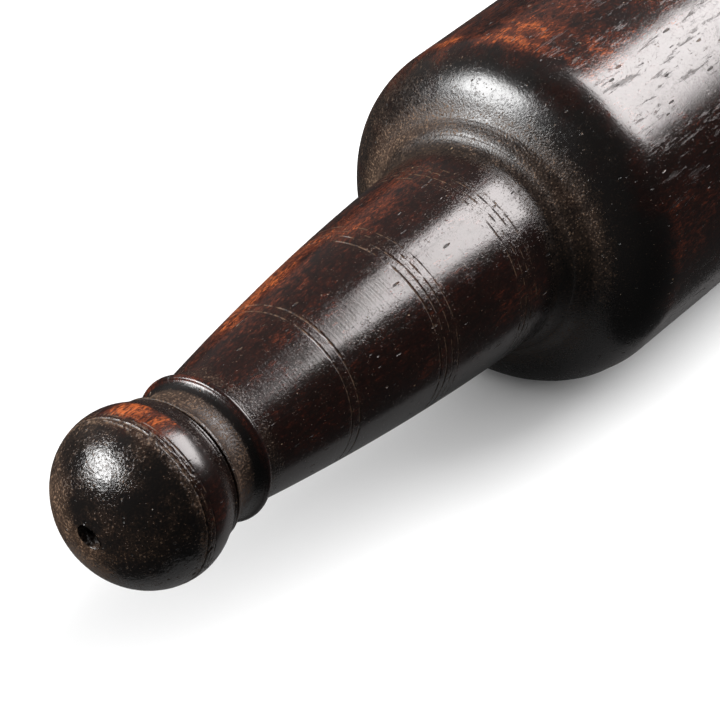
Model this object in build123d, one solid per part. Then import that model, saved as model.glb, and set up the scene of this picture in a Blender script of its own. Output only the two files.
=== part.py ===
"""Turned hardwood muddler: a knob, a collar and a flared handle, tenoned into a heavy round head.

The muddler lies on its side, its axis along +Y and its head resting on Z = 0. Every outline is drawn
as a half section, with X as the radius and Y as the distance from the tip of the knob, and is turned
about Y. Each finished piece is then moved to where it lies.
"""
import math
import os

from build123d import *

# Whole muddler (millimetres)
total_length = 200.0
head_radius = 26.8

# Knob: a slightly flattened ball with a thin lip behind it
knob_radius = 11.8
knob_half_length = 10.2
knob_back = 15.2  # where the ball ends and its lip begins
knob_lip_radius = 10.4
knob_lip_width = 0.4
lathe_hole_radius = 1.2  # left by the lathe's centre in the tip of the knob
lathe_hole_depth = 3.0
knob_lines = (8.4, 9.0, 9.6)

# Collar: a narrow neck, a thin lip, a hollow, a raised crest and a fillet
neck_radius = 9.6
neck_width = 0.5
collar_lip_radius = 10.2
collar_lip_width = 0.5
hollow_radius = 9.0
hollow_station = 18.9
crest_foot_radius = 9.9
crest_radius = 10.35
crest_front = 21.7
crest_back = 22.8
collar_back = 23.3

# Handle: flares in one long arc from the collar to a cove at its foot
flare_start_radius = 9.3
flare_end_radius = 15.2
flare_end = 80.6
flare_rise = 0.88  # how far the arc stands out from its chord
cove_radius = 2.9
cove_turn = 55.0
scribe_groups = ((37.8, 39.7), (54.9, 56.2, 57.4, 58.6), (72.2, 73.4, 74.6, 75.7))
scribe_radius = 0.16  # each scribed line is a round-bottomed groove

# Head: a domed shoulder, a nearly straight body and a flat working face
seat_margin = 0.3  # flat ring round the handle's foot
shoulder_points = ((22.0, 86.7), (25.6, 91.4), (26.3, 95.0))
shoulder_start = (0.84, 0.54)  # direction of the dome where it leaves the seat
shoulder_finish = (0.02, 1.0)
full_radius_station = 120.0
face_edge_radius = 4.0

# Glued spigot that holds the knob and the collar on the handle
spigot_radius = 4.0
spigot_tip = 8.0
glue_line = 0.05

# Wedged tenon that holds the handle in the head
tenon_root_radius = 9.6
tenon_end_radius = 10.2  # the wedge has spread the tenon's end
tenon_length = 42.0
mortise_gap = 0.8  # between the tenon's end and the floor of the mortise
kerf_depth = 32.0
kerf_floor_width = 1.2
kerf_mouth_width = 3.0
wedge_length = 27.0

# Worked out from the sizes above
knob_end = knob_back + knob_lip_width
collar_lip_end = knob_end + neck_width + collar_lip_width
bore_radius = spigot_radius + glue_line
foot_radius = flare_end_radius + cove_radius * (1 - math.cos(math.radians(cove_turn)))
foot_station = flare_end + cove_radius * math.sin(math.radians(cove_turn))
tenon_end = foot_station + tenon_length
mortise_floor = tenon_end + mortise_gap


def straight(*points):
    """Straight edges through a run of (radius, station) points."""
    return [Line(start, end) for start, end in zip(points, points[1:])]


def turn(edges):
    """Turn a closed half section about the muddler's axis."""
    return revolve(make_face(Wire(edges)), axis=Axis.Y, revolution_arc=360)


def turned_bar(start_radius, start, end_radius, end):
    """Plain round bar, straight or tapered, between two stations."""
    corners = ((0, start), (start_radius, start), (end_radius, end), (0, end), (0, start))
    return turn(straight(*corners))


def scribe(piece, surface, stations):
    """Cut fine lines round a turned piece whose radius at a station is surface(station)."""
    for station in stations:
        ring = Torus(surface(station), scribe_radius, rotation=(90, 0, 0))
        piece = piece - ring.moved(Location((0, station, 0)))
    return piece


def knob_surface(station):
    """Radius of the ball at a station."""
    offset = station / knob_half_length - 1
    return knob_radius * math.sqrt(1 - offset**2)


def handle_surface(station):
    """Radius of the handle's flare at a station."""
    along = (station - collar_back) / (flare_end - collar_back)
    chord = flare_start_radius + along * (flare_end_radius - flare_start_radius)
    return chord + flare_rise * 4 * along * (1 - along)


def make_knob():
    """Ball and lip, bored from behind for the spigot, with the lathe's hole in its tip."""
    back_angle = math.degrees(math.asin(knob_back / knob_half_length - 1))
    ball = EllipticalCenterArc(
        (0, knob_half_length), knob_radius, knob_half_length, start_angle=-90, arc_size=90 + back_angle
    )
    back = straight(
        (knob_surface(knob_back), knob_back),
        (knob_lip_radius, knob_back),
        (knob_lip_radius, knob_end),
        (0, knob_end),
        (0, 0),
    )
    knob = turn([ball] + back)
    knob -= turned_bar(bore_radius, spigot_tip - glue_line, bore_radius, knob_end)
    knob -= turned_bar(lathe_hole_radius, -1, lathe_hole_radius, lathe_hole_depth)
    return scribe(knob, knob_surface, knob_lines)


def make_collar():
    """Bored ring: neck, lip, hollow, crest and fillet, from the knob to the handle."""
    neck_end = knob_end + neck_width
    front = straight(
        (bore_radius, knob_end),
        (neck_radius, knob_end),
        (neck_radius, neck_end),
        (collar_lip_radius, neck_end),
        (collar_lip_radius, collar_lip_end),
    )
    hollow = Spline(
        (collar_lip_radius, collar_lip_end),
        (hollow_radius, hollow_station),
        (crest_foot_radius, crest_front),
        tangents=[(-1, 0.6), (0.9, 0.8)],
    )
    crest = ThreePointArc(
        (crest_foot_radius, crest_front),
        (crest_radius, (crest_front + crest_back) / 2),
        (crest_foot_radius, crest_back),
    )
    back = straight(
        (crest_foot_radius, crest_back),
        (flare_start_radius, crest_back),
        (flare_start_radius, collar_back),
        (bore_radius, collar_back),
        (bore_radius, knob_end),
    )
    return turn(front + [hollow, crest] + back)


def tenon_envelope():
    """The tenon's outside, before its kerf is cut."""
    return turned_bar(tenon_root_radius, foot_station, tenon_end_radius, tenon_end)


def tapered_slip(depth, tip_width):
    """Tapered board across the tenon's end, as wide as the kerf's mouth there."""
    outline = Polyline(
        (-tip_width / 2, tenon_end - depth),
        (tip_width / 2, tenon_end - depth),
        (kerf_mouth_width / 2, tenon_end),
        (-kerf_mouth_width / 2, tenon_end),
        close=True,
    )
    return extrude(make_face(outline), 2 * tenon_end_radius, both=True)


def make_handle():
    """Spigot, flared grip with its scribed lines, coved foot and kerfed tenon."""
    middle = (collar_back + flare_end) / 2
    flare = ThreePointArc(
        (flare_start_radius, collar_back), (handle_surface(middle), middle), (flare_end_radius, flare_end)
    )
    cove = JernArc((flare_end_radius, flare_end), (0, 1), cove_radius, -cove_turn)
    ends = straight(
        (foot_radius, foot_station),
        (0, foot_station),
        (0, collar_back),
        (flare_start_radius, collar_back),
    )
    grip = scribe(turn([flare, cove] + ends), handle_surface, sum(scribe_groups, ()))
    spigot = turned_bar(spigot_radius, spigot_tip, spigot_radius, collar_back)
    kerf = tapered_slip(kerf_depth, kerf_floor_width)
    return grip + spigot + (tenon_envelope() - kerf)


def make_tenon_wedge():
    """Fox wedge that fills the mouth of the kerf and spreads the tenon in its mortise."""
    taper = (kerf_mouth_width - kerf_floor_width) / kerf_depth
    tip_width = kerf_mouth_width - taper * wedge_length
    return tapered_slip(wedge_length, tip_width) & tenon_envelope()


def make_head():
    """Domed shoulder, body, rounded edge and flat working face, with a blind mortise."""
    seat_radius = foot_radius + seat_margin
    edge_centre = (head_radius - face_edge_radius, total_length - face_edge_radius)
    dome = Spline(
        (seat_radius, foot_station), *shoulder_points, tangents=[shoulder_start, shoulder_finish]
    )
    body = straight(
        shoulder_points[-1], (head_radius, full_radius_station), (head_radius, edge_centre[1])
    )
    edge = CenterArc(edge_centre, face_edge_radius, 0, 90)
    closing = straight(
        (edge_centre[0], total_length), (0, total_length), (0, foot_station), (seat_radius, foot_station)
    )
    head = turn([dome] + body + [edge] + closing)
    mortise = turned_bar(
        tenon_root_radius + glue_line, foot_station, tenon_end_radius + glue_line, mortise_floor
    )
    return head - mortise


def main():
    """Lay each piece in its place and write one file for each."""
    pieces = {
        "knob": make_knob(),
        "collar": make_collar(),
        "handle": make_handle(),
        "tenon_wedge": make_tenon_wedge(),
        "head": make_head(),
    }
    lying = Location((0, -total_length / 2, head_radius))
    os.makedirs("parts", exist_ok=True)
    for name, piece in pieces.items():
        export_step(piece.moved(lying), f"parts/{name}.step")


main()
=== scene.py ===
"""Looks of the turned hardwood muddler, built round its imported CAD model.

Each turned piece is a lathe mesh that follows its CAD node, with tool marks, dents, chips and scribed
lines cut into it, and a procedural wood. Lengths named in millimetres are multiplied by MM.
"""
import math

import bpy
import numpy as np
from mathutils import Matrix, Vector, noise


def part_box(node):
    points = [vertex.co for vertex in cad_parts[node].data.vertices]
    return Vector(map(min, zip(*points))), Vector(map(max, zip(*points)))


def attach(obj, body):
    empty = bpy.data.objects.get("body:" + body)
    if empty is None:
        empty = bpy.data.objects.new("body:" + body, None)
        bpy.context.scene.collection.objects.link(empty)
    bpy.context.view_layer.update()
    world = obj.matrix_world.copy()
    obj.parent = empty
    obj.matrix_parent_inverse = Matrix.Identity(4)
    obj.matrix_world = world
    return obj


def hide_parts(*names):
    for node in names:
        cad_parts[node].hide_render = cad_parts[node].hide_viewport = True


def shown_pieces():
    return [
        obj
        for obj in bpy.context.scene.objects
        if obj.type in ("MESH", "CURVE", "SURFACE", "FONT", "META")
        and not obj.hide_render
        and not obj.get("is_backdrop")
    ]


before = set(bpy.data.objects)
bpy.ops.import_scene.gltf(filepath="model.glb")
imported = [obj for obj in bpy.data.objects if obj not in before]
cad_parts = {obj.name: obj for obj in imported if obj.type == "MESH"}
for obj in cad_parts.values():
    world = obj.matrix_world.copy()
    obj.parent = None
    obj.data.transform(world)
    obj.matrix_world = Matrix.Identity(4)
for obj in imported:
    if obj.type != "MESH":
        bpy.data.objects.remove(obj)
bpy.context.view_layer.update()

MM = 0.001
TOTAL_LENGTH = 200.0
boxes = {name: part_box(name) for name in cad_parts}
TIP = boxes["head"][1].y - TOTAL_LENGTH * MM  # tip of the knob, before the lathe's hole
AXIS_HEIGHT = (boxes["head"][0].z + boxes["head"][1].z) / 2


def station(y):
    """Distance in millimetres from the tip of the knob to a place along +Y."""
    return (y - TIP) / MM


def radius(name):
    """Largest radius of a turned node, in millimetres."""
    low, high = boxes[name]
    return (high.x - low.x) / 2 / MM


# Turned outline in millimetres, as the CAD model has it
KNOB_RADIUS = radius("knob")
KNOB_HALF_LENGTH = 10.2
KNOB_BACK = 15.2
KNOB_LIP_RADIUS = 10.4
KNOB_END = station(boxes["collar"][0].y)
LATHE_HOLE_RADIUS = 1.2
LATHE_HOLE_DEPTH = 3.0
NECK_RADIUS = 9.6
LIP_WIDTH = 0.5
COLLAR_LIP_RADIUS = 10.2
HOLLOW = (9.0, 18.9)
HOLLOW_START = (-1, 0.6)
HOLLOW_FINISH = (0.9, 0.8)
CREST_FOOT_RADIUS = 9.9
CREST_RADIUS = radius("collar")
COLLAR_BACK = station(boxes["collar"][1].y)
CREST_BACK = COLLAR_BACK - 0.5
CREST_WIDTH = 1.1
FLARE_START_RADIUS = 9.3
FLARE_END_RADIUS = 15.2
FLARE_RISE = 0.88
COVE_RADIUS = 2.9
COVE_TURN = 55.0
FOOT_RADIUS = FLARE_END_RADIUS + COVE_RADIUS * (1 - math.cos(math.radians(COVE_TURN)))
FOOT = station(boxes["head"][0].y)
FLARE_END = FOOT - COVE_RADIUS * math.sin(math.radians(COVE_TURN))
HEAD_RADIUS = radius("head")
SHOULDER_POINTS = ((22.0, 86.7), (25.6, 91.4), (26.3, 95.0))
SHOULDER_START = (0.84, 0.54)
SHOULDER_FINISH = (0.02, 1.0)
FULL_RADIUS_STATION = 120.0
FACE_EDGE_RADIUS = 4.0
SPIGOT_RADIUS = 4.0
GLUE_LINE = 0.05
BORE_RADIUS = SPIGOT_RADIUS + GLUE_LINE
SPIGOT_TIP = station(boxes["handle"][0].y)
TENON_ROOT_RADIUS = 9.6
TENON_END_RADIUS = 10.2
TENON_END = station(boxes["handle"][1].y)
MORTISE_FLOOR = TENON_END + 0.8
KERF_DEPTH = 32.0
KERF_FLOOR_WIDTH = 1.2
KERF_MOUTH_WIDTH = 3.0

# Scribed lines: station, depth, half width and how broken each is, from -1 (whole) to 1 (gone)
KNOB_SCRIBES = (
    (8.4, 0.14, 0.12, -0.3),
    (9.0, 0.06, 0.07, 0.0),
    (9.6, 0.07, 0.07, -0.1),
)
HANDLE_SCRIBES = (
    (37.8, 0.07, 0.08, -0.2),
    (39.3, 0.10, 0.11, -0.3),
    (54.9, 0.10, 0.10, -0.15),
    (56.2, 0.09, 0.09, -0.2),
    (57.4, 0.07, 0.08, 0.0),
    (58.6, 0.05, 0.07, 0.05),
    (72.2, 0.06, 0.08, 0.05),
    (73.4, 0.06, 0.08, 0.0),
    (74.6, 0.05, 0.07, 0.1),
    (75.7, 0.04, 0.07, 0.1),
)

# Places along the muddler with looks of their own, as a span of stations. A name with START or END is the
# span in which such a place fades in or out
KNOB_FRONT_END = (8.2, 8.8)
KNOB_BAND_START = (8.6, 9.6)
KNOB_BAND_END = (12.4, 13.4)
KNOB_BACK_START = (12.2, 13.2)
NECK_END = (16.2, 17.0)
COLLAR_LIP = (16.2, 16.6)
COLLAR_HOLLOW = (17.0, 20.2)
COLLAR_CREST = (21.6, 22.7)
FILLET_START = (22.8, 23.0)
HANDLE_START_END = (23.8, 27)
DOME = (84.4, 92.5)
SEAT_END = (84.6, 87.0)
SHOULDER_END = (91.5, 95.5)

# The worn lathe hole: radii between which its mouth and its dark inside end, how far along the muddler
# they reach, and which way the hole is longer. The dark inside is painted shade
HOLE_MOUTH = (1.5, 2.8)
HOLE_SHADE = (1.0, 1.7)
HOLE_REACH = 4
HOLE_LONG_WAY = 150

# Which way worn and dirty places face, and where shade and sheen are painted, in degrees round the axis,
# from +X at 0 to the top at 90. Black on the underside is painted shade
SHADED_UNDERSIDE = -60
KNOB_RUBBED = 87
KNOB_DUSTY_AND_SHEEN = 222
CREST_RUBBED = 118
HANDLE_RUBBED = 145
HEAD_RUBBED = 112
BEHIND_DOME_RUBBED = 104
SHOULDER_RUBBED = 160
HEAD_DUSTY = 168

# The hollow carved round the head's seat, by radius, with a station in it where the mesh is finest, and the
# nick low on the shoulder
SEAT_HOLLOW_FINEST = 84.0
SEAT_HOLLOW_DEPTH = 0.72
SEAT_HOLLOW_START = (FOOT_RADIUS, 19)
SEAT_HOLLOW_END = (18.5, 25)
NICK_STATION = 92.6
NICK_ANGLE = 312.0
NICK_DEPTH = 0.22
NICK_HALF_LENGTH = 1.2
NICK_HALF_WIDTH = 1.8

# Mesh spacing in millimetres
FINE_STEP = 0.04
HIDDEN_STEP = 2.5
SCRIBE_STEP = 0.07
SCRIBE_REACH = 0.4

# Corners are rubbed over this many fine steps, and a bend of this much gets a row of its own
CORNER_STEPS = 2
SHARPEST_TURN = math.radians(10)

# The marks that the meshes carry for their wood
MARKS = ("black", "wear", "grime", "polish", "cut", "hole")


# ---------------------------------------------------------------- outlines

def edge(start, end, step=0.4, shown=1.0):
    """Evenly spaced (radius, station, shown) points along a straight edge."""
    count = max(2, int(math.dist(start, end) / step) + 1)
    points = np.linspace(start, end, count)
    return np.column_stack([points, np.full(count, shown)])


def inner(start, end):
    """A straight edge inside a joint, where nothing is carved."""
    return edge(start, end, shown=0.0)


def arc(centre, radii, start, end, count=90):
    """Part of an ellipse, between two angles in degrees from the radial direction."""
    turn = np.radians(np.linspace(start, end, count))
    across = centre[0] + radii[0] * np.cos(turn)
    along = centre[1] + radii[1] * np.sin(turn)
    return np.column_stack([across, along, np.ones(count)])


def spline(points, leaving, arriving, count=40):
    """Smooth curve through points, with its direction at each end."""
    points = np.array(points)
    gaps = np.linalg.norm(np.diff(points, axis=0), axis=1)
    matrix = np.eye(len(points))
    ways = np.zeros(points.shape)
    ways[0] = np.array(leaving) / math.hypot(*leaving)
    ways[-1] = np.array(arriving) / math.hypot(*arriving)
    for i in range(1, len(points) - 1):
        before, after = gaps[i - 1], gaps[i]
        matrix[i, i - 1:i + 2] = after, 2 * (before + after), before
        step_in = points[i] - points[i - 1]
        step_out = points[i + 1] - points[i]
        ways[i] = 3 * (after / before * step_in + before / after * step_out)
    ways = np.linalg.solve(matrix, ways)
    t = np.linspace(0, 1, count)[:, None]
    spans = []
    for i, gap in enumerate(gaps):
        from_start = (2 * t**3 - 3 * t**2 + 1) * points[i] + (t**3 - 2 * t**2 + t) * gap * ways[i]
        to_end = (3 * t**2 - 2 * t**3) * points[i + 1] + (t**3 - t**2) * gap * ways[i + 1]
        spans.append(from_start + to_end)
    return np.column_stack([np.concatenate(spans), np.ones(count * len(gaps))])


def flare_radius(at):
    """Radius of the handle's flare at a station."""
    along = (np.asarray(at) - COLLAR_BACK) / (FLARE_END - COLLAR_BACK)
    chord = FLARE_START_RADIUS + along * (FLARE_END_RADIUS - FLARE_START_RADIUS)
    return chord + FLARE_RISE * 4 * along * (1 - along)


def knob_outline():
    """Lathe hole, ball, lip and back, with the bore for the spigot."""
    back_angle = math.degrees(math.asin(KNOB_BACK / KNOB_HALF_LENGTH - 1))
    mouth = math.degrees(math.acos(LATHE_HOLE_RADIUS / KNOB_RADIUS))
    ball = arc((0, KNOB_HALF_LENGTH), (KNOB_RADIUS, KNOB_HALF_LENGTH), -mouth, back_angle, 240)
    step = (LATHE_HOLE_RADIUS * 0.6, LATHE_HOLE_DEPTH * 0.8)
    return np.concatenate([
        edge((0, LATHE_HOLE_DEPTH), step, 0.1),
        edge(step, ball[0][:2], 0.1),
        ball,
        edge((KNOB_LIP_RADIUS, KNOB_BACK), (KNOB_LIP_RADIUS, KNOB_END), 0.1),
        inner((KNOB_LIP_RADIUS, KNOB_END), (BORE_RADIUS, KNOB_END)),
        inner((BORE_RADIUS, KNOB_END), (BORE_RADIUS, SPIGOT_TIP - GLUE_LINE)),
        inner((BORE_RADIUS, SPIGOT_TIP - GLUE_LINE), (0, SPIGOT_TIP - GLUE_LINE)),
    ])


def collar_outline():
    """Neck, lip, hollow, crest and fillet, bored through. The outline closes on itself."""
    neck_end = KNOB_END + LIP_WIDTH
    lip_end = neck_end + LIP_WIDTH
    crest_front = CREST_BACK - CREST_WIDTH
    crest_middle = (crest_front + CREST_BACK) / 2
    crest_turn = (CREST_RADIUS - CREST_FOOT_RADIUS, CREST_WIDTH / 2)
    hollow = ((COLLAR_LIP_RADIUS, lip_end), HOLLOW, (CREST_FOOT_RADIUS, crest_front))
    return np.concatenate([
        inner((BORE_RADIUS, KNOB_END), (NECK_RADIUS, KNOB_END)),
        edge((NECK_RADIUS, KNOB_END), (NECK_RADIUS, neck_end), 0.1),
        edge((NECK_RADIUS, neck_end), (COLLAR_LIP_RADIUS, neck_end), 0.1),
        edge((COLLAR_LIP_RADIUS, neck_end), (COLLAR_LIP_RADIUS, lip_end), 0.1),
        spline(hollow, HOLLOW_START, HOLLOW_FINISH),
        arc((CREST_FOOT_RADIUS, crest_middle), crest_turn, -90, 90, 40),
        edge((CREST_FOOT_RADIUS, CREST_BACK), (FLARE_START_RADIUS, CREST_BACK), 0.1),
        edge((FLARE_START_RADIUS, CREST_BACK), (FLARE_START_RADIUS, COLLAR_BACK), 0.1),
        inner((FLARE_START_RADIUS, COLLAR_BACK), (BORE_RADIUS, COLLAR_BACK)),
        inner((BORE_RADIUS, COLLAR_BACK), (BORE_RADIUS, KNOB_END)),
    ])


def handle_outline():
    """Spigot, flared grip, coved foot and tenon."""
    at = np.linspace(COLLAR_BACK, FLARE_END, 400)
    flare = np.column_stack([flare_radius(at), at, np.ones(len(at))])
    cove_centre = (FLARE_END_RADIUS + COVE_RADIUS, FLARE_END)
    cove_stop = 180 - COVE_TURN
    return np.concatenate([
        inner((0, SPIGOT_TIP), (SPIGOT_RADIUS, SPIGOT_TIP)),
        inner((SPIGOT_RADIUS, SPIGOT_TIP), (SPIGOT_RADIUS, COLLAR_BACK)),
        inner((SPIGOT_RADIUS, COLLAR_BACK), flare[0][:2]),
        flare,
        arc(cove_centre, (COVE_RADIUS, COVE_RADIUS), 180, cove_stop, 40),
        inner((FOOT_RADIUS, FOOT), (TENON_ROOT_RADIUS, FOOT)),
        inner((TENON_ROOT_RADIUS, FOOT), (TENON_END_RADIUS, TENON_END)),
        inner((TENON_END_RADIUS, TENON_END), (0, TENON_END)),
    ])


def head_outline():
    """Mortise, seat, domed shoulder, body, rounded edge and working face."""
    mortise_mouth = (TENON_ROOT_RADIUS + GLUE_LINE, FOOT)
    mortise_end = (TENON_END_RADIUS + GLUE_LINE, MORTISE_FLOOR)
    edge_centre = (HEAD_RADIUS - FACE_EDGE_RADIUS, TOTAL_LENGTH - FACE_EDGE_RADIUS)
    return np.concatenate([
        inner((0, MORTISE_FLOOR), mortise_end),
        inner(mortise_end, mortise_mouth),
        inner(mortise_mouth, (FOOT_RADIUS, FOOT)),
        spline(((FOOT_RADIUS, FOOT), *SHOULDER_POINTS), SHOULDER_START, SHOULDER_FINISH, 60),
        edge(SHOULDER_POINTS[2], (HEAD_RADIUS, FULL_RADIUS_STATION)),
        edge((HEAD_RADIUS, FULL_RADIUS_STATION), (HEAD_RADIUS, edge_centre[1])),
        arc(edge_centre, (FACE_EDGE_RADIUS, FACE_EDGE_RADIUS), 0, 90, 30),
        edge((edge_centre[0], TOTAL_LENGTH), (0, TOTAL_LENGTH)),
    ])


def wrapped(values, closed, reach):
    """An outline's points with reach more at each end, for smoothing."""
    return np.pad(values, ((reach, reach), (0, 0)), mode="wrap" if closed else "edge")


def softened(outline, closed):
    """The outline in fine steps, its corners rubbed round except where two pieces are glued."""
    runs = []
    for start, end in zip(outline, outline[1:]):
        count = max(1, int(math.dist(start[:2], end[:2]) / FINE_STEP))
        runs.append(np.linspace(start, end, count, endpoint=False))
    runs.append(outline[-1:])
    fine = np.concatenate(runs)
    if closed:
        fine = fine[:-1]
    reach = 3 * CORNER_STEPS
    weights = np.exp(-0.5 * (np.arange(-reach, reach + 1) / CORNER_STEPS) ** 2)
    weights /= weights.sum()
    padded = wrapped(fine, closed, reach)
    rounded = np.stack([np.convolve(padded[:, i], weights, "valid") for i in range(3)], 1)
    glued = (rounded[:, 2] > 0.01) & (rounded[:, 2] < 0.99)
    rounded[glued, :2] = fine[glued, :2]
    if not closed:
        rounded[0, :2] = fine[0, :2]
        rounded[-1, :2] = fine[-1, :2]
    return rounded


def row_places(fine, widest, scribes):
    """The points of a softened outline that the mesh has rows at: close together at bends and lines."""
    heading = np.unwrap(np.arctan2(np.gradient(fine[:, 0]), np.gradient(fine[:, 1])))
    kept = [0]
    travelled = 0.0
    for i in range(1, len(fine) - 1):
        travelled += math.dist(fine[i, :2], fine[i - 1, :2])
        limit = widest if fine[i, 2] > 0.5 else HIDDEN_STEP
        if any(abs(fine[i, 1] - at) < SCRIBE_REACH for at in scribes) and fine[i, 2] > 0.5:
            limit = SCRIBE_STEP
        bent = abs(heading[i] - heading[kept[-1]]) > SHARPEST_TURN
        if travelled >= limit or (bent and travelled >= SCRIBE_STEP):
            kept.append(i)
            travelled = 0.0
    return fine[kept + [len(fine) - 1]]


# ---------------------------------------------------------------- carved lathe meshes

class Skin:
    """Rows and columns of a lathe mesh: places in millimetres, and how deep each is carved."""

    def __init__(self, rows, columns, seed):
        self.seed = seed
        self.angle = np.tile(np.arange(columns) * 2 * math.pi / columns, (len(rows), 1))
        self.radius = np.tile(rows[:, :1], (1, columns))
        self.station = np.tile(rows[:, 1:2], (1, columns))
        self.shown = np.tile(rows[:, 2:3], (1, columns))
        step = np.gradient(rows[:, :2], axis=0)
        step /= np.maximum(np.linalg.norm(step, axis=1, keepdims=True), 1e-9)
        self.radial = np.tile(step[:, 1:2], (1, columns))
        self.axial = np.tile(-step[:, :1], (1, columns))
        self.depth = np.zeros(self.radius.shape)
        self.marks = {name: np.zeros(self.radius.shape) for name in MARKS}

    def lumps(self, size, stretch=1.0, octaves=1):
        """Noise from about -1 to 1, with lumps of that size, stretched along the muddler."""
        self.seed += 1
        shift = self.seed % 97 * 3.7
        x = self.radius * np.cos(self.angle) / size + shift
        y = self.station / size / stretch + shift
        z = self.radius * np.sin(self.angle) / size + shift
        places = np.stack([x, y, z], -1).reshape(-1, 3).tolist()
        values = [noise.fractal(place, 1.0, 2.0, octaves) for place in places]
        return np.array(values).reshape(self.radius.shape)

    def facing(self, degrees, narrow=0.2, wide=0.9):
        """1 where the surface faces that way round the axis, falling to 0 away from it."""
        return smooth(np.cos(self.angle - math.radians(degrees)), narrow, wide)

    def scribe(self, at, depth, width, gaps):
        """Cuts a scratched line round the piece, broken where the noise falls under gaps."""
        wander = 0.06 * self.lumps(9)
        strength = smooth(self.lumps(1.6, octaves=2), gaps - 0.35, gaps + 0.3)
        groove = np.exp(-(((self.station - at - wander) / width) ** 2)) * strength
        self.depth += depth * groove
        self.marks["cut"] = np.maximum(self.marks["cut"], groove)

    def places(self):
        """Vertex places in millimetres, carved inward along the outline's own normal."""
        depth = np.maximum(self.depth, 0) * self.shown
        across = np.maximum(self.radius - depth * self.radial, 0)
        along = self.station - depth * self.axial
        return np.stack([across * np.cos(self.angle), along, across * np.sin(self.angle)], -1)


def smooth(values, low, high):
    """0 below low, 1 above high, and a smooth step between."""
    t = np.clip((values - low) / (high - low), 0, 1)
    return t * t * (3 - 2 * t)


def hump(values, start, end, blur):
    """1 between start and end, falling to 0 within blur of them."""
    return smooth(values, start - blur, start) * (1 - smooth(values, end, end + blur))


def skin_of(outline, columns, widest, seed, scribes=(), closed=False):
    """The mesh grid for an outline. On an open one the two ends are on the axis and become poles."""
    rows = row_places(softened(outline, closed), widest, scribes)
    return Skin(rows if closed else rows[1:-1], columns, seed), rows


def quads(rows, columns, closed):
    """Faces of a grid that closes on itself round the axis, and along the outline where closed."""
    index = np.arange(rows * columns).reshape(rows, columns)
    if closed:
        index = np.concatenate([index, index[:1]])
    beside = np.roll(index, -1, axis=1)
    return np.stack([index[:-1], index[1:], beside[1:], beside[:-1]], -1).reshape(-1, 4).tolist()


def lathe(name, skin, rows, closed=False):
    """Makes the mesh object of a carved skin, with its marks as attributes."""
    count, columns = skin.radius.shape
    places = skin.places().reshape(-1, 3)
    faces = quads(count, columns, closed)
    marks = {key: value.reshape(-1) for key, value in skin.marks.items()}
    if not closed:
        poles = np.array([[0, rows[0][1], 0], [0, rows[-1][1], 0]])
        first, last = len(places), len(places) + 1
        rim = (count - 1) * columns
        for j in range(columns):
            beside = (j + 1) % columns
            faces.append([first, j, beside])
            faces.append([last, rim + beside, rim + j])
        places = np.concatenate([places, poles])
        marks = {key: np.append(value, [value[0], value[-1]]) for key, value in marks.items()}
    mesh = bpy.data.meshes.new(name)
    mesh.from_pydata((places * MM).tolist(), [], faces)
    for key, value in marks.items():
        layer = mesh.attributes.new(key, "FLOAT", "POINT")
        layer.data.foreach_set("value", np.clip(value, 0, 1).astype(np.float32))
    mesh.shade_smooth()
    mesh.set_sharp_from_angle(angle=math.radians(60))
    piece = bpy.data.objects.new(name, mesh)
    piece.location = (0, TIP, AXIS_HEIGHT)
    bpy.context.scene.collection.objects.link(piece)
    return piece


def make_knob():
    """The ball: black and pitted in front of the scored line, red and polished behind it."""
    lines = [scribe[0] for scribe in KNOB_SCRIBES]
    skin, rows = skin_of(knob_outline(), columns=440, widest=0.1, seed=100, scribes=lines)
    s = skin.station
    ragged = s + 0.35 * skin.lumps(1.2, octaves=3)
    front = 1 - smooth(ragged, *KNOB_FRONT_END)
    band = smooth(ragged, *KNOB_BAND_START) * (1 - smooth(s, *KNOB_BAND_END))
    back = smooth(s, *KNOB_BACK_START)
    skin.depth += 0.04 + 0.035 * skin.lumps(9) + 0.015 * skin.lumps(3)
    skin.depth += front * 0.012 * (1 + skin.lumps(0.55, octaves=2))
    near_line = hump(s, 7.8, 8.9, 0.9)
    chips = smooth(skin.lumps(0.7, octaves=3), 0.24, 0.5) * near_line
    skin.depth += 0.1 * chips
    for scribe in KNOB_SCRIBES:
        skin.scribe(*scribe)
    mouth = (1 - smooth(skin.radius, *HOLE_MOUTH)) * (s < HOLE_REACH)
    oblong = 0.14 * np.cos(2 * (skin.angle - math.radians(HOLE_LONG_WAY)))
    skin.depth += mouth * 0.15 * (1 + skin.lumps(0.9, octaves=2))
    skin.radius *= 1 + mouth * (0.16 + oblong + 0.14 * skin.lumps(1.1, octaves=2))
    rubbed_top = skin.facing(KNOB_RUBBED, 0.86, 0.985)
    dust_and_sheen_left = skin.facing(KNOB_DUSTY_AND_SHEEN, -0.3, 0.8)
    cloud = skin.lumps(4, octaves=3)
    skin.marks["black"] = front * (1 - 0.5 * rubbed_top * smooth(s, 5, 8)) + 0.5 * back
    skin.marks["wear"] = rubbed_top * (0.78 * band + 0.4 * hump(s, 5, 8, 1.5)) + 0.24 * (band + back)
    # The knob's front gets real dust and partly painted sheen, as brown film and pale grains, most on the
    # lower left
    dust_and_sheen = 0.36 + 0.6 * dust_and_sheen_left + 0.35 * cloud
    skin.marks["grime"] = front * dust_and_sheen + 0.4 * near_line + 0.35 * back
    skin.marks["polish"] = 0.75 * band + 0.6 * back
    skin.marks["cut"] = np.maximum(skin.marks["cut"], 0.8 * chips)
    # The inside of the lathe hole is painted dark: painted shade
    skin.marks["hole"] = (1 - smooth(skin.radius, *HOLE_SHADE)) * (s < HOLE_REACH)
    return lathe("knob_turned", skin, rows)


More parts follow.
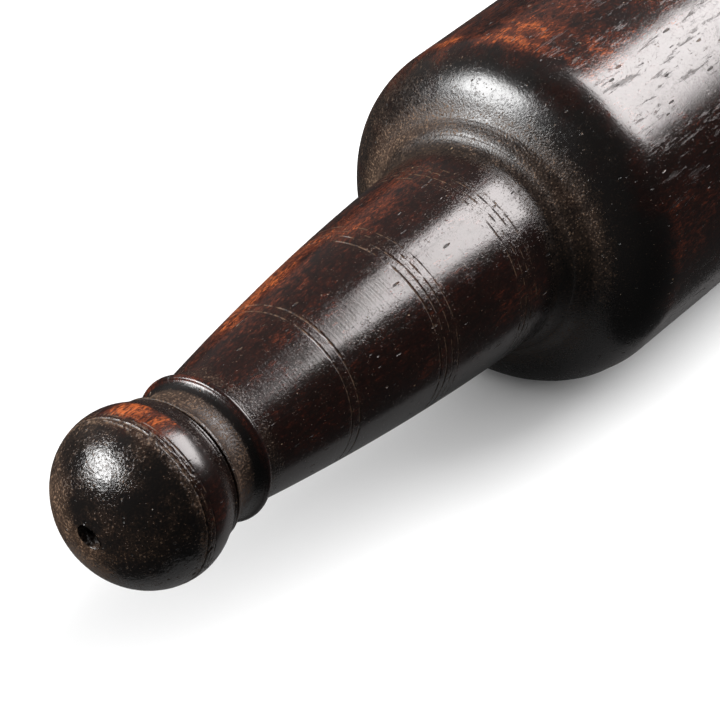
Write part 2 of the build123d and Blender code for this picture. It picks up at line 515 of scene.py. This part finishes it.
def make_collar():
    """The ring: packed grime in its hollow and a polished crest."""
    skin, rows = skin_of(collar_outline(), columns=400, widest=0.1, seed=200, closed=True)
    s = skin.station
    skin.depth += 0.025 + 0.02 * skin.lumps(6) + 0.012 * skin.lumps(1.5)
    hollow = hump(s, *COLLAR_HOLLOW, 0.7)
    crest = hump(s, *COLLAR_CREST, 0.3)
    skin.depth += hollow * 0.018 * (1 + skin.lumps(0.6, octaves=3))
    skin.marks["black"] = 0.75 - 0.45 * crest
    skin.marks["wear"] = crest * (0.15 + 0.4 * skin.facing(CREST_RUBBED, 0.6, 0.98))
    fillet = smooth(s, *FILLET_START)
    neck = 1 - smooth(s, *NECK_END)
    skin.marks["grime"] = hollow * (0.85 + 0.3 * skin.lumps(3, octaves=2)) + 0.9 * fillet + 0.8 * neck
    lip = hump(s, *COLLAR_LIP, 0.1)
    skin.marks["polish"] = np.maximum(0.3 * crest, 0.6 * lip) * (1 - fillet)
    return lathe("collar_turned", skin, rows, closed=True)


def make_handle():
    """The grip, with scribed lines in three groups."""
    lines = [scribe[0] for scribe in HANDLE_SCRIBES]
    skin, rows = skin_of(handle_outline(), columns=420, widest=0.24, seed=300, scribes=lines)
    s = skin.station
    skin.depth += 0.05 + 0.045 * skin.lumps(14, stretch=2) + 0.008 * skin.lumps(2.5, stretch=2)
    for scribe in HANDLE_SCRIBES:
        skin.scribe(*scribe)
    skin.depth *= 1 - 0.9 * smooth(s, FOOT - 2, FOOT)
    near_lines = sum(np.exp(-(((s - at) / 0.8) ** 2)) for at in lines)
    foot = smooth(s, FLARE_END - 3, FLARE_END + 0.5)
    start = 1 - smooth(s, *HANDLE_START_END)
    # Black on the underside and at the foot is painted shade, where light falls less and where the handle
    # meets the head. The handle is also darker next to the collar
    skin.marks["black"] = np.clip(0.5 * skin.facing(SHADED_UNDERSIDE, -0.2, 0.9) + 0.75 * foot + 0.4 * start, 0, 1)
    left_edge = skin.facing(HANDLE_RUBBED, 0.45, 1.0) * smooth(s, 26, 36) * (1 - 0.6 * smooth(s, 56, 70))
    skin.marks["wear"] = (1 - foot) * (0.25 + 0.57 * left_edge)
    skin.marks["grime"] = 0.18 * np.clip(near_lines, 0, 1) + 0.42 * foot + 0.35 * start + 0.15
    skin.marks["polish"] = 1 - np.maximum(0.9 * foot, 0.4 * (1 - smooth(s, 26, 40)))
    piece = lathe("handle_turned", skin, rows)
    cut_kerf(piece)
    return piece


def wedge_slot(name):
    """A cutter with the shape of the kerf: a tapered board across the tenon, widest at its end."""
    taper = (KERF_MOUTH_WIDTH - KERF_FLOOR_WIDTH) / KERF_DEPTH
    side = TENON_END_RADIUS + 2
    floor = (TENON_END - KERF_DEPTH, KERF_FLOOR_WIDTH / 2)
    mouth = (TENON_END + 1, (KERF_MOUTH_WIDTH + taper) / 2)
    corners = [(x * half, y, z) for z in (-side, side) for y, half in (floor, mouth) for x in (-1, 1)]
    faces = [(0, 1, 3, 2), (4, 6, 7, 5), (0, 4, 5, 1), (2, 3, 7, 6), (0, 2, 6, 4), (1, 5, 7, 3)]
    mesh = bpy.data.meshes.new(name)
    mesh.from_pydata([tuple(c * MM for c in corner) for corner in corners], [], faces)
    return bpy.data.objects.new(name, mesh)


def cut_kerf(piece):
    """Saws the tapered kerf for the wedge into the tenon's end."""
    cutter = wedge_slot("kerf_cutter")
    cutter.location = piece.location
    bpy.context.scene.collection.objects.link(cutter)
    cut = piece.modifiers.new("kerf", "BOOLEAN")
    cut.operation = "DIFFERENCE"
    cut.solver = "EXACT"
    cut.object = cutter
    evaluated = piece.evaluated_get(bpy.context.evaluated_depsgraph_get())
    sawn = bpy.data.meshes.new_from_object(evaluated)
    piece.modifiers.clear()
    piece.data = sawn
    bpy.data.objects.remove(cutter)


def make_head():
    """The head: grimy round its seat, a black satin dome, and a polished, rubbed body."""
    skin, rows = skin_of(head_outline(), columns=440, widest=0.42, seed=400, scribes=[SEAT_HOLLOW_FINEST])
    s = skin.station
    skin.depth += 0.06 + 0.05 * skin.lumps(22, stretch=2) + 0.012 * skin.lumps(5, stretch=2)
    seat = 1 - smooth(s, *SEAT_END)
    dome = hump(s, *DOME, 1.6)
    ragged = s + 1.3 * skin.lumps(3, stretch=2, octaves=3)
    shoulder = 1 - smooth(ragged, *SHOULDER_END)
    skin.depth += 0.012 * seat * (1 + np.sin(s * 17 + 2 * skin.lumps(6)))
    skin.depth *= 0.1 + 0.9 * smooth(s, FOOT, FOOT + 2)
    outward = smooth(skin.radius, *SEAT_HOLLOW_START)
    inward = 1 - smooth(skin.radius, *SEAT_HOLLOW_END)
    skin.depth += SEAT_HOLLOW_DEPTH * outward * inward * (s < SHOULDER_POINTS[-1][1])
    smoked = shoulder * (0.78 + 0.35 * skin.lumps(4, stretch=2, octaves=3) - 0.3 * hump(s, 91, 96, 2))
    face = smooth(s, TOTAL_LENGTH - 0.9, TOTAL_LENGTH - 0.2)
    rim = hump(s, TOTAL_LENGTH - FACE_EDGE_RADIUS, TOTAL_LENGTH - 0.8, 2.0)
    skin.depth += face * 0.05 * (1 + skin.lumps(2.5, octaves=3))
    # Black on the underside is painted shade
    skin.marks["black"] = smoked + 0.45 * skin.facing(SHADED_UNDERSIDE, -0.2, 0.9) * (1 - rim) + 0.3 * face
    rubbed_top = skin.facing(HEAD_RUBBED, 0.45, 0.98) * (1 - 0.5 * smooth(s, 115, 150))
    behind_dome = hump(s, 92, 101, 3) * skin.facing(BEHIND_DOME_RUBBED, 0.6, 0.97)
    patchy = 1 + skin.lumps(3, octaves=2)
    skin.marks["wear"] = (1 - shoulder) * (0.24 + 0.34 * rubbed_top + 0.22 * behind_dome * patchy)
    skin.marks["wear"] += 0.3 * shoulder * skin.facing(SHOULDER_RUBBED, 0.3, 1)
    skin.marks["wear"] += 0.2 * hump(s, 90, 95, 2) + 0.35 * rim
    dusty = skin.facing(HEAD_DUSTY, 0.2, 1.0)
    skin.marks["grime"] = seat * (0.52 + 0.2 * skin.lumps(4)) + 0.32 * dome * dusty + 0.12 + 0.3 * face
    skin.marks["polish"] = 1 - 0.8 * np.maximum(seat, 0.75 * shoulder) - 0.7 * face
    around = np.radians(np.degrees(skin.angle) - NICK_ANGLE) * skin.radius
    nick = np.exp(-(((s - NICK_STATION) / NICK_HALF_LENGTH) ** 2) - (around / NICK_HALF_WIDTH) ** 2)
    skin.depth += NICK_DEPTH * nick * (1 + skin.lumps(0.9, octaves=2))
    skin.marks["wear"] += 0.6 * nick
    skin.marks["black"] *= 1 - 0.9 * nick
    return lathe("head_turned", skin, rows)


# ---------------------------------------------------------------- shaders

IOR = 1.5


class Shader:
    """Short names for building a procedural material. Sizes and heights are in millimetres."""

    def __init__(self, name):
        self.material = bpy.data.materials.new(name)
        self.material.use_nodes = True
        self.tree = self.material.node_tree
        self.tree.nodes.clear()
        self.surface = self.tree.nodes.new("ShaderNodeBsdfPrincipled")
        output = self.tree.nodes.new("ShaderNodeOutputMaterial")
        self.tree.links.new(self.surface.outputs[0], output.inputs["Surface"])
        coordinates = self.tree.nodes.new("ShaderNodeTexCoord")
        self.place = self.stretched(coordinates.outputs["Object"], 1 / MM, 1 / MM)

    def put(self, socket, value):
        """Links an output to a socket, or sets the socket to a constant."""
        if isinstance(value, bpy.types.NodeSocket):
            self.tree.links.new(value, socket)
        elif isinstance(value, tuple):
            socket.default_value = (*value, 1.0) if socket.type == "RGBA" else value
        else:
            socket.default_value = value

    def stretched(self, vector, across, along):
        """A vector multiplied by across in X and Z, and by along in Y."""
        node = self.tree.nodes.new("ShaderNodeVectorMath")
        node.operation = "MULTIPLY"
        self.put(node.inputs[0], vector)
        self.put(node.inputs[1], (across, along, across))
        return node.outputs[0]

    def math(self, operation, a, b=0.5, c=0.5):
        node = self.tree.nodes.new("ShaderNodeMath")
        node.operation = operation
        for socket, value in zip(node.inputs, (a, b, c)):
            self.put(socket, value)
        return node.outputs[0]

    def add(self, a, b):
        return self.math("ADD", a, b)

    def times(self, a, b):
        return self.math("MULTIPLY", a, b)

    def swing(self, value, amount):
        """Noise centred on 0, as much as amount from its lowest to its highest."""
        return self.times(self.math("SUBTRACT", value, 0.5), amount)

    def total(self, *values):
        """The sum of several values."""
        result = values[0]
        for value in values[1:]:
            result = self.add(result, value)
        return result

    def rise(self, value, low, high, start=0.0, end=1.0):
        """start below low, end above high, and a smooth step between."""
        node = self.tree.nodes.new("ShaderNodeMapRange")
        node.interpolation_type = "SMOOTHSTEP"
        for socket, number in zip(node.inputs, (value, low, high, start, end)):
            self.put(socket, number)
        return node.outputs[0]

    def noise(self, size, stretch=1.0, detail=3.0, roughness=0.55, warp=0.0, turn=0.0):
        """Noise from 0 to 1 with lumps of that size, stretched along the muddler."""
        node = self.tree.nodes.new("ShaderNodeTexNoise")
        node.noise_dimensions = "4D"
        self.put(node.inputs["Vector"], self.stretched(self.place, 1 / size, 1 / size / stretch))
        self.put(node.inputs["W"], turn)
        self.put(node.inputs["Scale"], 1.0)
        self.put(node.inputs["Detail"], detail)
        self.put(node.inputs["Roughness"], roughness)
        self.put(node.inputs["Distortion"], warp)
        return node.outputs["Fac"]

    def flecks(self, size, stretch, width, share, turn=0.0):
        """1 in small flecks, 0 between. share is how many of the cells have one, from 0 to 1."""
        node = self.tree.nodes.new("ShaderNodeTexVoronoi")
        node.voronoi_dimensions = "4D"
        warp = self.noise(size * 0.8, stretch, 2.0)
        moved = self.tree.nodes.new("ShaderNodeVectorMath")
        moved.operation = "ADD"
        self.put(moved.inputs[0], self.stretched(self.place, 1 / size, 1 / size / stretch))
        self.put(moved.inputs[1], self.times(warp, 0.5))
        self.put(node.inputs["Vector"], moved.outputs[0])
        self.put(node.inputs["W"], turn)
        self.put(node.inputs["Scale"], 1.0)
        spot = self.rise(node.outputs["Distance"], width * 0.6, width, 1.0, 0.0)
        split = self.tree.nodes.new("ShaderNodeSeparateColor")
        self.put(split.inputs[0], node.outputs["Color"])
        chosen = self.rise(split.outputs[0], 1 - share - 0.02, 1 - share + 0.02)
        return self.times(spot, chosen)

    def mark(self, name):
        """One of the marks that the meshes carry."""
        node = self.tree.nodes.new("ShaderNodeAttribute")
        node.attribute_name = name
        return node.outputs["Fac"]

    def blend(self, factor, a, b):
        """Colour a, going to b as factor goes from 0 to 1."""
        node = self.tree.nodes.new("ShaderNodeMix")
        node.data_type = "RGBA"
        self.put(node.inputs[0], factor)
        self.put(node.inputs[6], a)
        self.put(node.inputs[7], b)
        return node.outputs[2]

    def finish(self, colour, roughness, height):
        """Links the surface up, with its height in millimetres as bump."""
        bump = self.tree.nodes.new("ShaderNodeBump")
        bump.inputs["Strength"].default_value = 1.0
        bump.inputs["Distance"].default_value = MM
        self.put(bump.inputs["Height"], height)
        self.put(self.surface.inputs["Base Color"], colour)
        self.put(self.surface.inputs["Roughness"], roughness)
        self.put(self.surface.inputs["Normal"], bump.outputs[0])
        self.surface.inputs["IOR"].default_value = IOR
        return self.material


# Colours of the wood and of the dirt on it, and the painted shade inside the lathe hole. On the knob's
# front part of the dirt is painted sheen
BLACK = (0.0050, 0.0044, 0.0041)
EBONY = (0.0060, 0.0026, 0.0021)
RED_BROWN = (0.031, 0.0074, 0.0047)
RUST = (0.095, 0.021, 0.009)
ORANGE = (0.40, 0.095, 0.024)
UMBER = (0.056, 0.0315, 0.0188)
PALE_DIRT = (0.175, 0.103, 0.058)
SAND = (0.34, 0.23, 0.13)
PAINTED_HOLE_SHADE = (0.004, 0.0025, 0.002)
RAW_WOOD = (0.22, 0.09, 0.035)
RAW_WOOD_PALE = (0.46, 0.24, 0.11)
RAW_PORE = (0.08, 0.03, 0.012)


def old_polished_wood(name, turn, satin=0.27, shine=0.17, scuffed=0.0):
    """Dark turned hardwood, black where stained and where shade is painted, and orange where rubbed
    through.

    turn makes each piece's grain its own. satin is the roughness where it isn't polished, shine where it
    is, and scuffed how much the polish is scraped.
    """
    make = Shader(name)
    black, wear, grime = make.mark("black"), make.mark("wear"), make.mark("grime")
    polish, cut, hole = make.mark("polish"), make.mark("cut"), make.mark("hole")
    cloud = make.noise(6, 2.0, 4.0, turn=turn)
    fibre = make.noise(0.28, 4, 3.0, 0.7, 0.3, turn)
    figure = make.noise(0.9, 2.4, 5.0, 0.75, 0.8, turn + 3)
    soot = make.noise(0.45, 2.4, 5.0, 0.75, 0.6, turn + 6)
    streak = make.noise(0.17, 9, 2.0, 0.6, 0.2, turn + 15)
    speck = make.noise(0.28, 1.2, 2.0, 0.65, turn=turn)
    dust_cloud = make.noise(1.5, 1.2, 6.0, 0.78, turn=turn + 5)

    # The wood itself: its figure, where it is rubbed through, soot in the grain, black stain and painted
    # black shade
    tone = make.total(make.swing(cloud, 1.0), make.swing(figure, 1.5), make.swing(fibre, 1.0))
    wood = make.blend(make.rise(tone, -0.40, 0.6), EBONY, RED_BROWN)
    rubbed = make.total(wear, make.swing(cloud, 2.0), make.swing(figure, 1.7), make.swing(fibre, 1.3))
    wood = make.blend(make.rise(rubbed, 0.35, 0.95), wood, RUST)
    wood = make.blend(make.rise(rubbed, 0.86, 1.24), wood, ORANGE)
    sooty = make.rise(make.total(soot, make.times(wear, -0.06)), 0.45, 0.54)
    wood = make.blend(make.times(sooty, 0.75), wood, EBONY)
    wood = make.blend(make.times(make.rise(streak, 0.50, 0.60), 0.6), wood, EBONY)
    # The black mark is black stain, and on undersides and at the handle's foot it is painted shade
    stain = make.total(black, make.swing(figure, 1.0), make.swing(speck, 0.6))
    wood = make.blend(make.times(make.rise(stain, 0.25, 0.8), 0.95), wood, BLACK)

    # Dirt on it, as a brown film and as pale grains. On the knob's front part of them is painted sheen
    film = make.rise(make.total(grime, make.swing(dust_cloud, 1.2), make.swing(speck, 1.7)), 0.15, 1.15)
    loaded = make.total(speck, make.times(grime, 0.19), make.swing(dust_cloud, 0.35))
    grains = make.rise(loaded, 0.705, 0.80)
    colour = make.blend(make.times(film, 0.65), wood, UMBER)
    colour = make.blend(make.times(grains, 0.7), colour, PALE_DIRT)

    # Pores, scuffs and pits, scribed lines and chips made darker, and pale dirt packed in some of them
    pores = make.flecks(0.85, 3.8, 0.24, 0.45, turn)
    scuffs = make.flecks(0.55, 6.0, 0.17, 0.30, turn + 12)
    pits = make.flecks(1.2, 1.5, 0.11, 0.24, turn + 7)
    filled = make.rise(make.noise(1.3, turn=turn + 9), 0.50, 0.6)
    colour = make.blend(make.times(make.add(pores, scuffs), 0.7), colour, BLACK)
    colour = make.blend(make.times(make.times(pores, filled), 0.5), colour, PALE_DIRT)
    colour = make.blend(make.times(pits, 0.7), colour, SAND)
    packed = make.times(cut, make.rise(make.noise(0.5, detail=2.0, turn=turn), 0.42, 0.58))
    colour = make.blend(make.times(cut, 0.5), colour, EBONY)
    colour = make.blend(make.times(packed, 0.7), colour, PALE_DIRT)
    # The inside of the lathe hole is painted near black: painted shade
    colour = make.blend(hole, colour, PAINTED_HOLE_SHADE)

    # Gloss, duller on dirt and marks
    scratches = make.noise(1.1, 7, 6.0, 0.8, 0.3, turn + 17)
    scraped = make.times(make.rise(scratches, 0.55, 0.64, 0.0, scuffed), polish)
    gloss = make.rise(polish, 0, 1, satin, shine)
    smear = make.swing(make.noise(2.2, 3, 5.0, 0.7, turn=turn + 2), 0.12)
    dulled = make.total(make.times(film, 0.23), make.times(grains, 0.3), make.times(cut, 0.35))
    marred = make.times(make.total(pits, pores, scuffs, make.times(scraped, 0.7)), 0.35)
    roughness = make.math("MAXIMUM", make.total(gloss, smear, dulled, marred), 0.08)

    # Height of the rings that the lathe left, of the wrinkled black finish and of the marks
    ring = make.tree.nodes.new("ShaderNodeTexNoise")
    make.put(ring.inputs["Vector"], make.stretched(make.place, 0.004, 2.8))
    make.put(ring.inputs["Scale"], 1.0)
    make.put(ring.inputs["Detail"], 2.0)
    turned_part = make.rise(make.noise(9, 1.0, 2.0, turn=turn + 8), 0.36, 0.60)
    wrinkle = make.noise(0.42, 1.0, 3.0, turn=turn + 4)
    height = make.total(
        make.times(make.times(ring.outputs["Fac"], turned_part), 0.010),
        make.times(fibre, 0.008),
        make.times(figure, 0.008),
        make.times(make.times(wrinkle, make.rise(polish, 0, 1, 1.0, 0.06)), 0.040),
        make.times(scraped, -0.012),
        make.times(make.times(speck, film), 0.045),
        make.times(grains, 0.012),
        make.times(pores, -0.07),
        make.times(scuffs, -0.03),
        make.times(pits, -0.04),
        make.times(cut, -0.02),
    )
    return make.finish(colour, roughness, height)


def plain_wood():
    """Raw paler hardwood of the hidden wedge, with its grain along the muddler."""
    make = Shader("wedge_wood")
    grain = make.noise(0.5, 12, 4.0, 0.6, 0.8)
    cloud = make.noise(5, 3, 3.0)
    pores = make.flecks(0.8, 5.0, 0.22, 0.4)
    tone = make.rise(make.add(make.times(grain, 0.8), make.times(cloud, 0.5)), 0.4, 0.9)
    colour = make.blend(tone, RAW_WOOD, RAW_WOOD_PALE)
    colour = make.blend(make.times(pores, 0.7), colour, RAW_PORE)
    roughness = make.rise(grain, 0.3, 0.7, 0.5, 0.68)
    height = make.total(make.times(grain, 0.03), make.times(pores, -0.06))
    return make.finish(colour, roughness, height)


def dress(piece, material, node):
    """Gives a turned piece its wood, and puts it in place of its CAD node."""
    piece.data.materials.clear()
    piece.data.materials.append(material)
    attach(piece, "root")
    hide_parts(node)


dress(make_knob(), old_polished_wood("knob_wood", turn=1.0, satin=0.14, shine=0.24), "knob")
dress(make_collar(), old_polished_wood("collar_wood", turn=11.0), "collar")
dress(make_handle(), old_polished_wood("handle_wood", turn=21.0, scuffed=0.3), "handle")
dress(make_head(), old_polished_wood("head_wood", turn=31.0, satin=0.26, scuffed=1.0), "head")
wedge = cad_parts["tenon_wedge"]
wedge.data.materials.clear()
wedge.data.materials.append(plain_wood())


# ---------------------------------------------------------------- studio

# The view that fits the photo's outlines
CAMERA_TARGET = Vector((2.31, -47.60, 24.76)) * MM
CAMERA_AZIMUTH = math.radians(35.24)
CAMERA_ELEVATION = math.radians(33.12)
CAMERA_DISTANCE = 341.69 * MM
LENS = 130.0
SENSOR_WIDTH = 36.0

# Strength of the world as the wood reflects it, and as the camera sees it
REFLECTED_WORLD = 0.05
BACKDROP = 1.2


def make_camera():
    """Looks down on the knob from the front right."""
    level = math.cos(CAMERA_ELEVATION)
    back = Vector((
        math.sin(CAMERA_AZIMUTH) * level,
        -math.cos(CAMERA_AZIMUTH) * level,
        math.sin(CAMERA_ELEVATION),
    ))
    data = bpy.data.cameras.new("camera")
    data.lens = LENS
    data.sensor_width = SENSOR_WIDTH
    data.clip_start = 0.01
    camera = bpy.data.objects.new("camera", data)
    camera.location = CAMERA_TARGET + CAMERA_DISTANCE * back
    camera.rotation_euler = back.to_track_quat("Z", "Y").to_euler()
    bpy.context.scene.collection.objects.link(camera)
    bpy.context.scene.camera = camera


def make_area_light(name, toward, across, size, power, lit, distance=1.0, colour=(1, 1, 1)):
    """A rectangular light over the muddler, its width along across, lighting only the lit objects."""
    data = bpy.data.lights.new(name, "AREA")
    data.shape = "RECTANGLE"
    data.size, data.size_y = size
    data.energy = power
    data.color = colour
    light = bpy.data.objects.new(name, data)
    back = Vector(toward).normalized()
    side = Vector(across)
    side = (side - side.dot(back) * back).normalized()
    up = back.cross(side)
    light.rotation_euler = Matrix((side, up, back)).transposed().to_euler()
    light.location = CAMERA_TARGET + back * distance
    bpy.context.scene.collection.objects.link(light)
    receivers = bpy.data.collections.new(name + "_lights")
    for thing in lit:
        receivers.objects.link(thing)
    light.light_linking.receiver_collection = receivers


def make_floor(name, half_width, half_length, height, shade):
    """A flat matt sheet of paper, as light as shade makes it: white for the floor, dark grey where it is
    painted floor shade.
    """
    mesh = bpy.data.meshes.new(name)
    turns = ((-1, -1), (1, -1), (1, 1), (-1, 1))
    corners = [(x * half_width, y * half_length, height) for x, y in turns]
    mesh.from_pydata(corners, [], [(0, 1, 2, 3)])
    floor = bpy.data.objects.new(name, mesh)
    bpy.context.scene.collection.objects.link(floor)
    make = Shader(name + "_paper")
    tooth = make.noise(0.8)
    mesh.materials.append(make.finish((shade, shade, shade), 0.9, make.times(tooth, 0.01)))
    floor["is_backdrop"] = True
    return floor


def make_world():
    """A dark studio with a white backdrop behind the floor."""
    world = bpy.data.worlds.new("studio")
    world.use_nodes = True
    tree = world.node_tree
    tree.nodes.clear()
    output = tree.nodes.new("ShaderNodeOutputWorld")
    mix = tree.nodes.new("ShaderNodeMixShader")
    rays = tree.nodes.new("ShaderNodeLightPath")
    for index, strength in ((1, REFLECTED_WORLD), (2, BACKDROP)):
        background = tree.nodes.new("ShaderNodeBackground")
        background.inputs["Strength"].default_value = strength
        tree.links.new(background.outputs[0], mix.inputs[index])
        background.inputs["Color"].default_value = (1, 1, 1, 1)
    tree.links.new(rays.outputs["Is Camera Ray"], mix.inputs[0])
    tree.links.new(mix.outputs[0], output.inputs[0])
    bpy.context.scene.world = world


make_camera()
floor = make_floor("floor", half_width=3.0, half_length=3.0, height=0, shade=0.9)
floor.visible_glossy = False  # the wood reflects only the strip of paper close under it
floor.visible_diffuse = False
floor.visible_shadow = False
# A dark grey sheet close under the wood, seen only in its reflections: painted shade of the floor there
strip = make_floor("floor_shade_strip", half_width=0.026, half_length=0.1, height=-0.0002, shade=0.15)
strip.visible_camera = False
wood = list(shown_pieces())

# Direction that each light comes from, direction of its width, and its size in metres
BACK = ((0.328, 0.688, 0.647), (0.942, -0.204, -0.26), (0.6, 0.5))
FRONT = ((-0.519, -0.641, 0.566), (0.78, -0.63, 0), (0.6, 0.42))
LEFT = ((-0.55, 0.35, 0.75), (0.8, 0.6, 0), (1.6, 1.6))
OVERHEAD = ((0, 0, 1), (1, 0, 0), (10, 10))
WARM_WHITE = (1.0, 0.95, 0.945)
make_area_light("softbox_back", *BACK, power=13, lit=wood + [strip], colour=WARM_WHITE)
make_area_light("paper_back", *BACK, power=8.7, lit=[floor])
make_area_light("softbox_front", *FRONT, power=22, lit=wood)
make_area_light("fill_left", *LEFT, power=1.4, lit=wood)
make_area_light("paper_fill", *OVERHEAD, power=490, lit=[floor, strip], distance=2.0)
make_world()
bpy.context.scene.view_settings.view_transform = "Standard"

bpy.context.view_layer.update()
